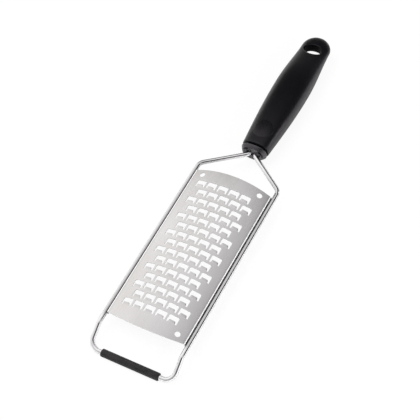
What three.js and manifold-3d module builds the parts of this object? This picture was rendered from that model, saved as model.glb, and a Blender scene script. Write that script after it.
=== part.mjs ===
// Flat grater: an arched scoop blade on a bent wire frame, with a rubber foot sleeve and a moulded handle.
// Millimetres, +Z up, +Y from the foot to the handle. It lies on the foot sleeve and the belly of the grip.

import * as THREE from 'three';
import { mergeVertices } from 'three/addons/utils/BufferGeometryUtils.js';
import Module from 'manifold-3d';

const wasm = await Module();
wasm.setup();

// Fits between neighbouring pieces
const weldGap = 0.3;
const wireGap = 0.3;
const socketGap = 0.3;
const padGap = 0.3;

// Wire frame
const wireDiameter = 3.2;
const frameWidth = 65;
const shoulderGap = 7.5;
const neckLength = 21;
const tangSpacing = 4.2;
const tangTipLength = 5;
const tangTipWidth = 3.8;
const tangTipThickness = 1.8;
const legGap = 7.3;
const footReach = 15.9;
const footDrop = 8.7;
const shoulderBend = 6;
const neckBend = 4;
const legBend = 8;
const footBend = 7;

// Blade sheet
const bladeLength = 125;
const sheetThickness = 0.5;
const archRadius = 78.5;
const crownHeight = 7.6;
const edgeBend = 0.9;
const flangeReach = 1;
const flangeSlant = 0.6;
const handleEndBulge = 2;
const footEndBulge = 3.4;
const toolingHoleDiameter = 3.8;
const toolingHoleAcross = 44.4;
const toolingHoleInset = 3.6;

// Scoops of the blade
const scoopRows = 15;
const scoopColumns = 5;
const rowPitch = 7.34;
const columnPitch = 8.64;
const rowShift = 0.25 * columnPitch;
const scoopWidth = 7.3;
const scoopLength = 5.5;
const scoopCorner = 1;
const tongueLength = 1.9;
const tongueEdgeWidth = 3.6;
const tongueRise = 0.5;
const tongueRoot = 0.4;
const legFootWidth = 0.9;

// Foot sleeve
const sleeveLength = 43;
const sleeveDiameter = 5.5;
const sleeveChamfer = 0.4;

// Plug in the mouth of the grip
const noseLength = 1.2;
const noseInset = 0.6;
const plugEdge = 0.5;
const ringLength = 3.3;
const ringTaper = 1.5;
const ringHalfWidth = 9.75;
const ringHalfHeight = 7.4;
const grooveWidth = 1.2;
const grooveDepth = 1.2;
const noseOverlap = 0.3;
const wireSlotDepth = 3.6;
const wireSlotHalfWidth = 6.2;
const noseNotchHalfWidth = 3.9;
const shankLength = 30;
const shankHalfWidth = 7;
const shankHalfHeight = 4.2;
const snapRidge = 0.7;
const snapRidgeLength = 3;
const snapRidgePlace = 18;
const socketEndRoom = 7;

// Grip
const gripLength = 110.15;
const mouthHalfWidth = 10.1;
const mouthTop = 7.6;
const mouthBottom = 7.4;
const bellyPlace = 60.1;
const bellyHalfWidth = 13.2;
const bellyTop = 10.3;
const bellyBottom = 11.45;
const tipLength = 10.55;
const heelHalfWidth = 11.1;
const heelTop = 5.6;
const heelBottom = 2.8;
const tipTop = 4.2;
const tipBottom = 2.4;
const hangHoleInset = 14.3;
const hangHoleAcross = 13.2;
const hangHoleAlong = 8.8;
const hangHoleFlare = 1.3;
const tipFullness = 2.2;
const heelCurve = 1.4;
const sectionFullness = 2.4;

// Round pad in the top of the grip
const padPlace = 13.1;
const padDiameter = 14.6;
const padFloor = 6.2;
const padProud = 0.45;

// Facets of the round shapes
const wireSides = 16;
const bendSteps = 6;
const archSteps = 14;
const sleeveSides = 20;
const edgeBendSteps = 3;
const handleSides = 36;
const mouthSteps = 8;
const heelSteps = 6;
const holeSides = 24;
const tipAngles = [15, 30, 45, 60, 73, 83];
const tipFaceAngle = 89;

// Places that follow from the sizes above, from the middle of the blade and the plane of the rails
const wireRadius = wireDiameter / 2;
const railX = frameWidth / 2 - wireRadius;
const shoulderY = bladeLength / 2 + shoulderGap;
const neckX = tangSpacing / 2;
const neckY = shoulderY + neckLength;
const legY = -bladeLength / 2 - legGap;
const footY = legY - footReach;
const flangeFootX = railX - wireRadius - weldGap;
const flangeX = flangeFootX - flangeSlant;
const noseY = neckY - noseOverlap;
const ringY = noseY + noseLength;
const grooveY = ringY + ringLength;
const mouthY = grooveY + grooveWidth;
const tipY = mouthY + gripLength;
const shankEndY = mouthY + shankLength;
const tangTipY = shankEndY + wireGap;
const padY = mouthY + padPlace;
const heelPlace = gripLength - tipLength;
const hangHoleY = tipY - hangHoleInset;
const archZ = crownHeight - archRadius;
const restZ = -Math.max(footDrop + sleeveDiameter / 2, bellyBottom);
const footEdgeY = footY - sleeveDiameter / 2;

const polishedSteel = new THREE.MeshStandardMaterial({ color: 0xd2d3d6, roughness: 0.16, metalness: 1 });
const brushedSteel = new THREE.MeshStandardMaterial({ color: 0xc4c4c6, roughness: 0.34, metalness: 1 });
const blackRubber = new THREE.MeshStandardMaterial({ color: 0x262627, roughness: 0.8, metalness: 0 });
const blackPlastic = new THREE.MeshStandardMaterial({ color: 0x17171a, roughness: 0.5, metalness: 0 });
const plugPlastic = new THREE.MeshStandardMaterial({ color: 0x1d1d20, roughness: 0.42, metalness: 0 });

// Position-only geometry with shared corners and no collapsed faces.
function weld(geometry) {
  const bare = new THREE.BufferGeometry();
  bare.setAttribute('position', geometry.getAttribute('position').clone());
  if (geometry.index) bare.setIndex(geometry.index.clone());
  const merged = mergeVertices(bare, 1e-4);
  const corners = merged.index.array;
  const kept = [];
  for (let i = 0; i < corners.length; i += 3) {
    const [a, b, c] = [corners[i], corners[i + 1], corners[i + 2]];
    if (a !== b && b !== c && c !== a) kept.push(a, b, c);
  }
  merged.setIndex(kept);
  return merged;
}

// Six times the enclosed volume; negative when the faces point inwards.
function signedVolume(geometry) {
  const at = geometry.getAttribute('position');
  const [a, b, c] = [new THREE.Vector3(), new THREE.Vector3(), new THREE.Vector3()];
  let sum = 0;
  for (let i = 0; i < geometry.index.count; i += 3) {
    a.fromBufferAttribute(at, geometry.index.getX(i));
    b.fromBufferAttribute(at, geometry.index.getX(i + 1));
    c.fromBufferAttribute(at, geometry.index.getX(i + 2));
    sum += a.dot(b.cross(c));
  }
  return sum;
}

// Closed body for joining and cutting, with its faces outwards.
function solid(geometry) {
  const closed = weld(geometry);
  const triVerts = new Uint32Array(closed.index.array);
  if (signedVolume(closed) < 0) {
    for (let i = 0; i < triVerts.length; i += 3) {
      [triVerts[i + 1], triVerts[i + 2]] = [triVerts[i + 2], triVerts[i + 1]];
    }
  }
  const vertProperties = new Float32Array(closed.getAttribute('position').array);
  return new wasm.Manifold(new wasm.Mesh({ numProp: 3, vertProperties, triVerts }));
}

// Named mesh from a finished body.
function piece(name, body, material) {
  const { vertProperties, triVerts } = body.getMesh();
  const geometry = new THREE.BufferGeometry();
  geometry.setAttribute('position', new THREE.BufferAttribute(new Float32Array(vertProperties), 3));
  geometry.setIndex(new THREE.BufferAttribute(new Uint32Array(triVerts), 1));
  geometry.translate(0, -(tipY + footEdgeY) / 2, -restZ);
  geometry.computeVertexNormals();
  const mesh = new THREE.Mesh(geometry, material);
  mesh.name = name;
  return mesh;
}

function box(x0, x1, y0, y1, z0, z1) {
  const geometry = new THREE.BoxGeometry(x1 - x0, y1 - y0, z1 - z0);
  geometry.translate((x0 + x1) / 2, (y0 + y1) / 2, (z0 + z1) / 2);
  return solid(geometry);
}

function rodAlongY(x, z, radius, y0, y1, sides) {
  const geometry = new THREE.CylinderGeometry(radius, radius, y1 - y0, sides);
  geometry.translate(x, (y0 + y1) / 2, z);
  return solid(geometry);
}

function rodAlongZ(x, y, radius, z0, z1, sides) {
  const geometry = new THREE.CylinderGeometry(radius, radius, z1 - z0, sides);
  geometry.rotateX(Math.PI / 2);
  geometry.translate(x, y, (z0 + z1) / 2);
  return solid(geometry);
}

// Centre line of a bent wire: straights between the corners, a round bend at each inner corner.
class BentWire extends THREE.Curve {
  constructor(corners, bendRadii) {
    super();
    this.stations = [corners[0].clone()];
    bendRadii.forEach((radius, i) => this.addBend(corners[i], corners[i + 1], corners[i + 2], radius));
    this.stations.push(corners[corners.length - 1].clone());
  }

  addBend(before, corner, after, radius) {
    const back = before.clone().sub(corner).normalize();
    const ahead = after.clone().sub(corner).normalize();
    const halfAngle = back.angleTo(ahead) / 2;
    const middle = back.clone().add(ahead).normalize();
    const centre = corner.clone().addScaledVector(middle, radius / Math.sin(halfAngle));
    const start = corner.clone().addScaledVector(back, radius / Math.tan(halfAngle)).sub(centre);
    const axis = ahead.clone().cross(back).normalize();
    const sweep = Math.PI - 2 * halfAngle;
    for (let k = 0; k <= bendSteps; k += 1) {
      const turned = start.clone().applyAxisAngle(axis, (sweep * k) / bendSteps);
      this.stations.push(turned.add(centre));
    }
  }

  get steps() {
    return this.stations.length - 1;
  }

  getUtoTmapping(u) {
    return u;
  }

  getPoint(t, target = new THREE.Vector3()) {
    const place = Math.min(t * this.steps, this.steps - 1e-9);
    const i = Math.floor(place);
    return target.lerpVectors(this.stations[i], this.stations[i + 1], place - i);
  }

  getTangent(t, target = new THREE.Vector3()) {
    const i = Math.round(t * this.steps);
    const ahead = this.stations[Math.min(i + 1, this.steps)];
    const behind = this.stations[Math.max(i - 1, 0)];
    const here = this.stations[i];
    const into = here.clone().sub(behind).normalize();
    const out = ahead.clone().sub(here).normalize();
    return target.copy(into).add(out).normalize();
  }
}

function circleShape(radius, sides) {
  const shape = new THREE.Shape();
  for (let k = 0; k < sides; k += 1) {
    const angle = (2 * Math.PI * (k + 0.5)) / sides;
    const reach = radius / Math.cos(Math.PI / sides);
    if (k === 0) shape.moveTo(reach * Math.cos(angle), reach * Math.sin(angle));
    else shape.lineTo(reach * Math.cos(angle), reach * Math.sin(angle));
  }
  shape.closePath();
  return shape;
}

function wireFrame() {
  const half = [
    new THREE.Vector3(neckX, tangTipY + tangTipLength / 2, 0),
    new THREE.Vector3(neckX, neckY, 0),
    new THREE.Vector3(railX, shoulderY, 0),
    new THREE.Vector3(railX, legY, 0),
    new THREE.Vector3(railX, footY, -footDrop),
  ];
  const mirrored = half.map((p) => new THREE.Vector3(-p.x, p.y, p.z)).reverse();
  const bends = [neckBend, shoulderBend, legBend, footBend];
  const path = new BentWire([...half, ...mirrored], [...bends, ...bends.slice().reverse()]);
  const tube = new THREE.ExtrudeGeometry(circleShape(wireRadius, wireSides), {
    extrudePath: path,
    steps: path.steps,
    bevelEnabled: false,
    curveSegments: 1,
  });
  let body = solid(tube);
  for (const side of [-1, 1]) {
    const x0 = side * neckX - tangTipWidth / 2;
    const z1 = tangTipThickness / 2;
    body = body.add(box(x0, x0 + tangTipWidth, tangTipY, tangTipY + tangTipLength, -z1, z1));
  }
  return piece('wire_frame', body, polishedSteel);
}

// One face of the blade's cross section, from flange to flange, inset below the outer face.
function bladeFace(inset) {
  const bendX = flangeX - edgeBend;
  const bendReach = archRadius - edgeBend;
  const edgeAngle = Math.asin(bendX / bendReach);
  const bendZ = archZ + bendReach * Math.cos(edgeAngle);
  const right = [];
  for (let k = 0; k <= archSteps / 2; k += 1) {
    const angle = (edgeAngle * k) / (archSteps / 2);
    const reach = archRadius - inset;
    right.push([reach * Math.sin(angle), archZ + reach * Math.cos(angle)]);
  }
  for (let k = 1; k <= edgeBendSteps; k += 1) {
    const angle = edgeAngle + ((Math.PI / 2 - edgeAngle) * k) / edgeBendSteps;
    const reach = edgeBend - inset;
    right.push([bendX + reach * Math.sin(angle), bendZ + reach * Math.cos(angle)]);
  }
  right.push([flangeFootX - inset, -flangeReach]);
  const left = right.slice(1).reverse().map(([x, z]) => [-x, z]);
  return [...left, ...right];
}

// Arched sheet with turned-down long edges, before its ends are trimmed.
function archedSheet() {
  const outline = [...bladeFace(0), ...bladeFace(sheetThickness).reverse()];
  const shape = new THREE.Shape(outline.map(([x, z]) => new THREE.Vector2(x, z)));
  const depth = bladeLength + 4 * (handleEndBulge + footEndBulge);
  const geometry = new THREE.ExtrudeGeometry(shape, { depth, bevelEnabled: false });
  geometry.rotateX(Math.PI / 2);
  geometry.translate(0, depth / 2, 0);
  return solid(geometry);
}

// Upright block with the blade's plan: straight sides and two convex ends.
function bladePlan() {
  const halfWidth = flangeFootX + weldGap / 2;
  const end = bladeLength / 2;
  const shape = new THREE.Shape();
  shape.moveTo(-halfWidth, -end);
  shape.quadraticCurveTo(0, -end - 2 * footEndBulge, halfWidth, -end);
  shape.lineTo(halfWidth, end);
  shape.quadraticCurveTo(0, end + 2 * handleEndBulge, -halfWidth, end);
  const below = 2 * flangeReach;
  const depth = below + 2 * crownHeight;
  const geometry = new THREE.ExtrudeGeometry(shape, { depth, bevelEnabled: false, curveSegments: 10 });
  geometry.translate(0, 0, -below);
  return solid(geometry);
}

// Puts a geometry drawn round the arch axis at its place on the arch.
function onArch(geometry, across, along) {
  geometry.rotateY(across / archRadius);
  geometry.translate(0, along, archZ);
  return solid(geometry);
}

function scoopOpening(across, along) {
  const halfWidth = scoopWidth / 2;
  const end = scoopLength / 2;
  const shape = new THREE.Shape();
  shape.moveTo(-halfWidth, -end);
  shape.lineTo(halfWidth, -end);
  shape.lineTo(halfWidth, end - scoopCorner);
  shape.lineTo(halfWidth - scoopCorner, end);
  shape.lineTo(-halfWidth + scoopCorner, end);
  shape.lineTo(-halfWidth, end - scoopCorner);
  const geometry = new THREE.ExtrudeGeometry(shape, { depth: 6 * sheetThickness, bevelEnabled: false });
  geometry.translate(0, 0, archRadius - 3.5 * sheetThickness);
  return onArch(geometry, across, along);
}

// Tongue that rises from the foot side of its opening to a cutting edge facing the handle.
function scoopTongue(across, along) {
  const baseWidth = scoopWidth - 2 * legFootWidth;
  const root = -scoopLength / 2;
  const skin = 0.1 * sheetThickness;
  const shape = new THREE.Shape();
  shape.moveTo(root - tongueRoot, skin - sheetThickness);
  shape.lineTo(root, skin - sheetThickness);
  shape.lineTo(root + tongueLength, tongueRise - sheetThickness);
  shape.lineTo(root + tongueLength, tongueRise);
  shape.lineTo(root, -skin);
  shape.lineTo(root - tongueRoot, -skin);
  const geometry = new THREE.ExtrudeGeometry(shape, { depth: baseWidth, bevelEnabled: false });
  const at = geometry.getAttribute('position');
  for (let i = 0; i < at.count; i += 1) {
    const reach = Math.max(0, (at.getX(i) - root) / tongueLength);
    const width = 1 + reach * (tongueEdgeWidth / baseWidth - 1);
    at.setXYZ(i, (at.getZ(i) - baseWidth / 2) * width, at.getX(i), archRadius + at.getY(i));
  }
  return onArch(geometry, across, along);
}

// Middles of the scoops: every other row is shifted by half a column.
function scoopPlaces() {
  const places = [];
  for (let row = 0; row < scoopRows; row += 1) {
    const along = ((scoopRows - 1) / 2 - row) * rowPitch;
    const shift = row % 2 === 0 ? -rowShift : rowShift;
    for (let column = 0; column < scoopColumns; column += 1) {
      places.push([(column - (scoopColumns - 1) / 2) * columnPitch + shift, along]);
    }
  }
  return places;
}

function graterBlade() {
  let body = archedSheet().intersect(bladePlan());
  for (const [across, along] of scoopPlaces()) body = body.subtract(scoopOpening(across, along));
  for (const [across, along] of scoopPlaces()) body = body.add(scoopTongue(across, along));
  const holeX = toolingHoleAcross / 2;
  const holeY = bladeLength / 2 - toolingHoleInset;
  for (const [x, y] of [[-holeX, holeY], [holeX, holeY], [holeX, -holeY]]) {
    body = body.subtract(rodAlongZ(x, y, toolingHoleDiameter / 2, -1, crownHeight + 1, holeSides));
  }
  return piece('grater_blade', body, brushedSteel);
}

// Rubber tube on the foot bar, with a flat facet underneath.
function footSleeve() {
  const facet = 1 / Math.cos(Math.PI / sleeveSides);
  const outer = (sleeveDiameter / 2) * facet;
  const bore = (wireRadius + wireGap) * facet;
  const end = sleeveLength / 2;
  const profile = [
    new THREE.Vector2(bore, -end),
    new THREE.Vector2(outer - sleeveChamfer, -end),
    new THREE.Vector2(outer, -end + sleeveChamfer),
    new THREE.Vector2(outer, end - sleeveChamfer),
    new THREE.Vector2(outer - sleeveChamfer, end),
    new THREE.Vector2(bore, end),
    new THREE.Vector2(bore, -end),
  ];
  const geometry = new THREE.LatheGeometry(profile, sleeveSides, Math.PI / sleeveSides);
  geometry.rotateZ(Math.PI / 2);
  geometry.translate(0, footY, -footDrop);
  return piece('foot_sleeve', solid(geometry), blackRubber);
}

// Takes a sine or cosine of a round section to that of one with fuller corners.
function fuller(share) {
  return Math.sign(share) * Math.abs(share) ** (2 / sectionFullness);
}

// Body along Y through oval sections, each with its own half width and its own height above and below.
function loft(sections) {
  const first = sections[0];
  const last = sections[sections.length - 1];
  const profile = sections.map((s) => new THREE.Vector2(s.half, s.y));
  profile.unshift(new THREE.Vector2(0, first.y));
  profile.push(new THREE.Vector2(0, last.y));
  const geometry = new THREE.LatheGeometry(profile, handleSides);
  const at = geometry.getAttribute('position');
  for (let i = 0; i < at.count; i += 1) {
    const s = sections[(i % profile.length) - 1];
    if (s) {
      const height = fuller(at.getZ(i) / s.half);
      at.setX(i, fuller(at.getX(i) / s.half) * s.half);
      at.setZ(i, height * (height > 0 ? s.top : s.bottom));
    }
  }
  return solid(geometry);
}

function oval(y, half, height) {
  return { y, half, top: height, bottom: height };
}

// Sections of the shank, or of its socket when a gap is given.
function shankSections(startY, endY, gap) {
  const half = shankHalfWidth + gap;
  const height = shankHalfHeight + gap;
  const ridgeY = mouthY + snapRidgePlace;
  const ridgeEnd = snapRidgeLength / 2 + gap;
  return [
    oval(startY, half, height),
    oval(ridgeY - ridgeEnd, half, height),
    oval(ridgeY, half + snapRidge, height + snapRidge),
    oval(ridgeY + ridgeEnd, half, height),
    oval(endY, half, height),
  ];
}

function handlePlug() {
  const frontHalf = ringHalfWidth - ringTaper;
  const frontHeight = ringHalfHeight - ringTaper;
  const noseHalf = frontHalf - noseInset;
  const noseHeight = frontHeight - noseInset;
  const grooveHalf = ringHalfWidth - grooveDepth;
  const grooveHeight = ringHalfHeight - grooveDepth;
  const seatY = mouthY - socketGap;
  let body = loft([
    oval(noseY, noseHalf - plugEdge, noseHeight - plugEdge),
    oval(noseY + plugEdge, noseHalf, noseHeight),
    oval(ringY, noseHalf, noseHeight),
    oval(ringY, frontHalf, frontHeight),
    oval(ringY + ringLength / 2, ringHalfWidth - ringTaper / 3, ringHalfHeight - ringTaper / 3),
    oval(grooveY - plugEdge, ringHalfWidth, ringHalfHeight),
    oval(grooveY, ringHalfWidth, ringHalfHeight),
    oval(grooveY, grooveHalf, grooveHeight),
    oval(seatY, grooveHalf, grooveHeight),
    ...shankSections(seatY, shankEndY, 0),
  ]);
  const slotHeight = wireRadius + wireGap;
  body = body.subtract(box(-wireSlotHalfWidth, wireSlotHalfWidth, noseY - 1, noseY + wireSlotDepth,
    -slotHeight, slotHeight));
  body = body.subtract(box(-noseNotchHalfWidth, noseNotchHalfWidth, noseY - 1, ringY, 0, 2 * ringHalfHeight));
  for (const side of [-1, 1]) {
    body = body.subtract(rodAlongY(side * neckX, 0, wireRadius + wireGap, noseY, shankEndY + 1, wireSides));
  }
  return piece('handle_plug', body, plugPlastic);
}

// Outer section of the grip at a distance from its mouth, swollen all round by an extra amount.
function gripSection(place, extra) {
  const y = mouthY + place;
  if (place <= bellyPlace) {
    const rise = Math.sin((Math.PI / 2) * (place / bellyPlace));
    return {
      y,
      half: mouthHalfWidth + (bellyHalfWidth - mouthHalfWidth) * rise + extra,
      top: mouthTop + (bellyTop - mouthTop) * rise + extra,
      bottom: mouthBottom + (bellyBottom - mouthBottom) * rise + extra,
    };
  }
  const fall = Math.cos((Math.PI / 2) * ((place - bellyPlace) / (heelPlace - bellyPlace))) ** heelCurve;
  return {
    y,
    half: heelHalfWidth + (bellyHalfWidth - heelHalfWidth) * fall + extra,
    top: heelTop + (bellyTop - heelTop) * fall + extra,
    bottom: heelBottom + (bellyBottom - heelBottom) * fall + extra,
  };
}

// Sections of the blunt rounded end, a quarter of a superellipse in plan.
function tipSection(angle) {
  const round = Math.cos(angle) ** (2 / tipFullness);
  const reach = Math.sin(angle) ** (2 / tipFullness);
  return {
    y: mouthY + heelPlace + tipLength * reach,
    half: heelHalfWidth * round,
    top: tipTop + (heelTop - tipTop) * round,
    bottom: tipBottom + (heelBottom - tipBottom) * round,
  };
}

function gripBody(extra) {
  const sections = [];
  for (let k = 0; k <= mouthSteps; k += 1) sections.push(gripSection((bellyPlace * k) / mouthSteps, extra));
  for (let k = 1; k <= heelSteps; k += 1) {
    sections.push(gripSection(bellyPlace + ((heelPlace - bellyPlace) * k) / heelSteps, extra));
  }
  for (const degrees of tipAngles) sections.push(tipSection(THREE.MathUtils.degToRad(degrees)));
  sections.push({ ...tipSection(THREE.MathUtils.degToRad(tipFaceAngle)), y: tipY });
  return loft(sections);
}

// Oval hole with flared rims, through the end of the grip.
function hangHole() {
  const waistTop = heelTop - hangHoleFlare;
  const waistBottom = hangHoleFlare - heelBottom;
  const past = 3 * hangHoleFlare;
  const wide = 1 + (2 * past) / hangHoleAlong;
  const profile = [
    new THREE.Vector2(0, waistBottom - past),
    new THREE.Vector2(wide, waistBottom - past),
    new THREE.Vector2(1, waistBottom),
    new THREE.Vector2(1, waistTop),
    new THREE.Vector2(wide, waistTop + past),
    new THREE.Vector2(0, waistTop + past),
  ];
  const geometry = new THREE.LatheGeometry(profile, holeSides);
  geometry.rotateX(Math.PI / 2);
  geometry.scale(hangHoleAcross / 2, hangHoleAlong / 2, 1);
  geometry.translate(0, hangHoleY, 0);
  return solid(geometry);
}

function handleGrip() {
  const socket = loft(shankSections(mouthY - 1, shankEndY + socketEndRoom, socketGap));
  const pocket = rodAlongZ(0, padY, padDiameter / 2 + padGap, padFloor - padGap, 2 * bellyTop, holeSides);
  const body = gripBody(0).subtract(socket).subtract(pocket).subtract(hangHole());
  return piece('handle_grip', body, blackPlastic);
}

function gripPad() {
  const disc = rodAlongZ(0, padY, padDiameter / 2, padFloor, 2 * bellyTop, holeSides);
  return piece('grip_pad', disc.intersect(gripBody(padProud)), blackPlastic);
}

const grater = new THREE.Group();
grater.name = 'flat_grater';
grater.add(wireFrame(), graterBlade(), footSleeve(), handlePlug(), handleGrip(), gripPad());

export default grater;
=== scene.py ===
"""Flat grater: the finish of every surface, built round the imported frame.

Shapes are worked out in millimetres from the middle of the blade and the plane of the rails,
with the frame's axes: +X across, +Y towards the handle, +Z up. A mesh is put at its place in
the frame, in metres, when it is made.
"""

import math

import bpy
from mathutils import Euler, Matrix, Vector
from mathutils.geometry import delaunay_2d_cdt
import numpy as np


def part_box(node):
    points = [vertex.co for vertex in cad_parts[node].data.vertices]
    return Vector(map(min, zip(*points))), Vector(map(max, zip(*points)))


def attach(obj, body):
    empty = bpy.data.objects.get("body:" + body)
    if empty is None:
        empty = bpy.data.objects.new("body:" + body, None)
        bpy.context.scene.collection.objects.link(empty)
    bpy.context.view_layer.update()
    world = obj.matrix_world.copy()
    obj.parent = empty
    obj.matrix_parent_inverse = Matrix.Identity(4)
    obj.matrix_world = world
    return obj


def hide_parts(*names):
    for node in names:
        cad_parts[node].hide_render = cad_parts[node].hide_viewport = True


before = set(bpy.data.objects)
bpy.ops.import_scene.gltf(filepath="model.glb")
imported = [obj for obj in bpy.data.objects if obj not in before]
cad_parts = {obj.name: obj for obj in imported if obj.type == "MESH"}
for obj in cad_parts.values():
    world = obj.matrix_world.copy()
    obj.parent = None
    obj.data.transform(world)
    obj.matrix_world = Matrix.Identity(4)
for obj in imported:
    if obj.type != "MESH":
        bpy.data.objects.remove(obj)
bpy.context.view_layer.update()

MM = 0.001

# Wire frame
WIRE_RADIUS = 1.6
TANG_X = 2.1
SHOULDER_GAP = 7.5
NECK_LENGTH = 21.0
LEG_GAP = 7.3
SHOULDER_BEND = 6.0
NECK_BEND = 4.0
LEG_BEND = 8.0
FOOT_BEND = 7.0
WIRE_SIDES = 32
BEND_STEPS = 20

# Weld marks and painted shade on the rails, darkening their steel: the share on the side towards the blade,
# and the part of that on the other side
RAIL_WELD_AND_PAINTED_SHADE = 0.4
OUTER_SHARE = 0.08

# Blade sheet
SHEET_THICKNESS = 0.5
ARCH_RADIUS = 78.5
CROWN_HEIGHT = 7.6
EDGE_BEND = 0.9
FLANGE_REACH = 1.0
HANDLE_END_BULGE = 2.0
FOOT_END_BULGE = 3.4
TOOLING_HOLE_RADIUS = 1.9
TOOLING_HOLE_X = 22.2
TOOLING_HOLE_INSET = 3.6
GRID_STEP = 1.15
CLEAR_OF_CUTS = 0.3

# Slant of the blade's flanges; below zero they lean inwards
FLANGE_SLANT = math.radians(-10)

# Painted light along the blade's edges, a painted highlight on the bend, painted shade with weld marks under
# it and a band of painted shade: heights over the plane of the rails under which each begins, and how softly
PAINTED_HIGHLIGHT_HEIGHT = 2.25
WELD_AND_SHADE_HEIGHT = 1.92
PAINTED_EDGE_FADE = 0.12
EDGE_SHADE_HEIGHT = 2.55
EDGE_SHADE_FADE = 0.6
EDGE_SHADE = 0.2

# Scoops
SCOOP_ROWS = 15
SCOOP_COLUMNS = 5
ROW_PITCH = 7.34
COLUMN_PITCH = 8.64
ROW_SHIFT = 2.16
SCOOP_WIDTH = 7.3
SCOOP_LENGTH = 5.5
SCOOP_CORNER = 1.0
TONGUE_LENGTH = 1.9
TONGUE_EDGE_WIDTH = 3.6
TONGUE_CORNER = 0.8
TONGUE_RISE = 0.5
TONGUE_CURVE = 1.35
LEG_FOOT_WIDTH = 0.9

# Foot sleeve
SLEEVE_EDGE = 0.7
SLEEVE_BORE_GAP = 0.15
SLEEVE_LIP = 1.5
SLEEVE_STEPS = 24
SLEEVE_SIDES = 64

# Plug in the mouth of the grip
NOSE_LENGTH = 1.2
NOSE_OVERLAP = 0.3
RING_LENGTH = 2.9
RING_TAPER = 1.5
NOSE_INSET = 0.6
NOSE_EDGE = 0.5
NOSE_EDGE_LENGTH = 0.45
NOSE_LINE_WIDTH = 0.7
NOSE_LINE_DEPTH = 1.5
RING_LAND = 0.5
SHARP_STEP = 0.01
GROOVE_WIDTH = 1.6
GROOVE_DEPTH = 2.2
SHANK_HALF_WIDTH = 7.0
SHANK_HALF_HEIGHT = 4.2
NOTCH_HALF_WIDTH = 3.9
PLUG_CLEARANCE = 0.3
PLUG_VOXEL = 0.17
PLUG_SIDES = 72

# Grip: half width, height above and height below at its mouth, belly and heel, and then its other sizes
MOUTH = (10.1, 7.6, 7.4)
BELLY = (13.2, 10.3, 11.45)
HEEL = (11.1, 5.6, 2.8)
SECTION_FULLNESS = 2.4
TIP_TOP = 4.2
TIP_BOTTOM = 2.4
BELLY_PLACE = 60.1
TIP_LENGTH = 10.55
TIP_FULLNESS = 2.2
TIP_ROUNDING = 5.0
HEEL_CURVE = 1.4
MOUTH_EDGE = 0.7
HANG_HOLE_INSET = 14.3
HANG_HOLE_ACROSS = 13.2
HANG_HOLE_ALONG = 8.8
HANG_HOLE_ROUND = 1.3
HANG_HOLE_FLARE = 0.6
HANG_HOLE_LIFT = 0.12
SOCKET_DEPTH = 37.0
SOCKET_SIDES = 48
CUTTER_REACH = 30
GRIP_SIDES = 96
GRIP_STATIONS = 90
TIP_STATIONS = 26

# Pad in the top of the grip
PAD_RADIUS = 7.42
PAD_GAP = 0.06
PAD_FLOOR = 6.2
PAD_PROUD = 0.45
PAD_DOME = 0.38
PAD_EDGE = 0.15

# Black mouldings: dark and light shade, roughness, grains in a metre, height of the grain, gloss
GRIP_FINISH = ((0.0022, 0.0021, 0.0028), (0.0034, 0.0033, 0.0042), 0.34, 2600, 0.012, 0.4)
PLUG_FINISH = ((0.013, 0.0126, 0.0142), (0.019, 0.0185, 0.0205), 0.24, 2200, 0.01, 0.8)
PAD_FINISH = ((0.0025, 0.0025, 0.0031), (0.004, 0.004, 0.0048), 0.3, 2600, 0.01, 0.42)
# Gloss left on the wall of the hanging hole, whose reflections are taken away as painted shade
HANG_HOLE_GLOSS = 0.03

# Light tent: direction of its bright side, angles between which it dims, brightness and tint on either side
BRIGHT_SIDE = (-0.8, 0.45, 0.4)
TENT_ANGLES = (5, 95)
BRIGHT_LEVEL = 1.16
DIM_LEVEL = 0.4
LEFT_TINT = (1.0, 0.98, 0.965)
RIGHT_TINT = (1.0, 0.982, 1.015)

# Panels of the light tent: middle, angle of the full panel, angle where it ends, factor on the brightness
PANELS = [
    ((0.832, 0.465, 0.303), 20, 30, 0.05),
    ((0.3, -0.458, 0.837), 8, 13, 0.05),
    ((0.515, -0.411, 0.752), 8, 14, 0.05),
    ((0.707, -0.339, 0.62), 8, 14, 0.05),
    ((0.438, -0.601, 0.669), 8, 14, 0.05),
    ((0.14, -0.14, 0.98), 10, 34, 1.25),
    ((0.93, -0.3, 0.2), 12, 40, 2.2),
]

# Cards that only show in what is glossy: name, brightness, corners in metres
CARDS = [
    (
        "dark_flag",
        0.04,
        [(0.4, 0.112, 0.17), (0.4, 0.5, 0.17), (-0.6, 0.55, 0.17), (-0.6, 0.335, 0.17), (-0.1, 0.115, 0.17)],
    ),
    (
        "reflector",
        4.0,
        [(0.1, 0.08, 0.0), (0.1, 0.1, 0.0), (0.1, 0.1, 0.035), (0.1, 0.08, 0.035)],
    ),
]

# Lamps: name, size in metres, watts, place in metres
LAMPS = [
    ("main_lamp", 1.2, 12, (-0.5, -0.2, 1.5)),
    ("side_lamp", 0.5, 6, (0.85, -0.15, 0.45)),
]

# Share of plain white in the floor, as it is seen and as it shows in metal; the rest takes the shadow
SEEN_GLOW = 0.9
MIRRORED_GLOW = 0.1

# Camera of the photograph
CAMERA_PLACE_MM = (280.9, -413.24, 707.21)
CAMERA_TURN_DEGREES = (34.4441, 5.8336, 27.7461)
CAMERA_LENS = 106.0


def node_box(name):
    """Lowest and highest corner of a node, in millimetres."""
    low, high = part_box(name)
    return low / MM, high / MM


wire_high = node_box("wire_frame")[1]
blade_low, blade_high = node_box("grater_blade")
sleeve_low, sleeve_high = node_box("foot_sleeve")
plug_low, plug_high = node_box("handle_plug")
grip_high = node_box("handle_grip")[1]
pad_low, pad_high = node_box("grip_pad")

# The frame's place of the blade's middle and of the rails
blade_half_length = (blade_high.y - blade_low.y - HANDLE_END_BULGE - FOOT_END_BULGE) / 2
home = Vector((0, blade_low.y + FOOT_END_BULGE + blade_half_length, wire_high.z - WIRE_RADIUS))

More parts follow.
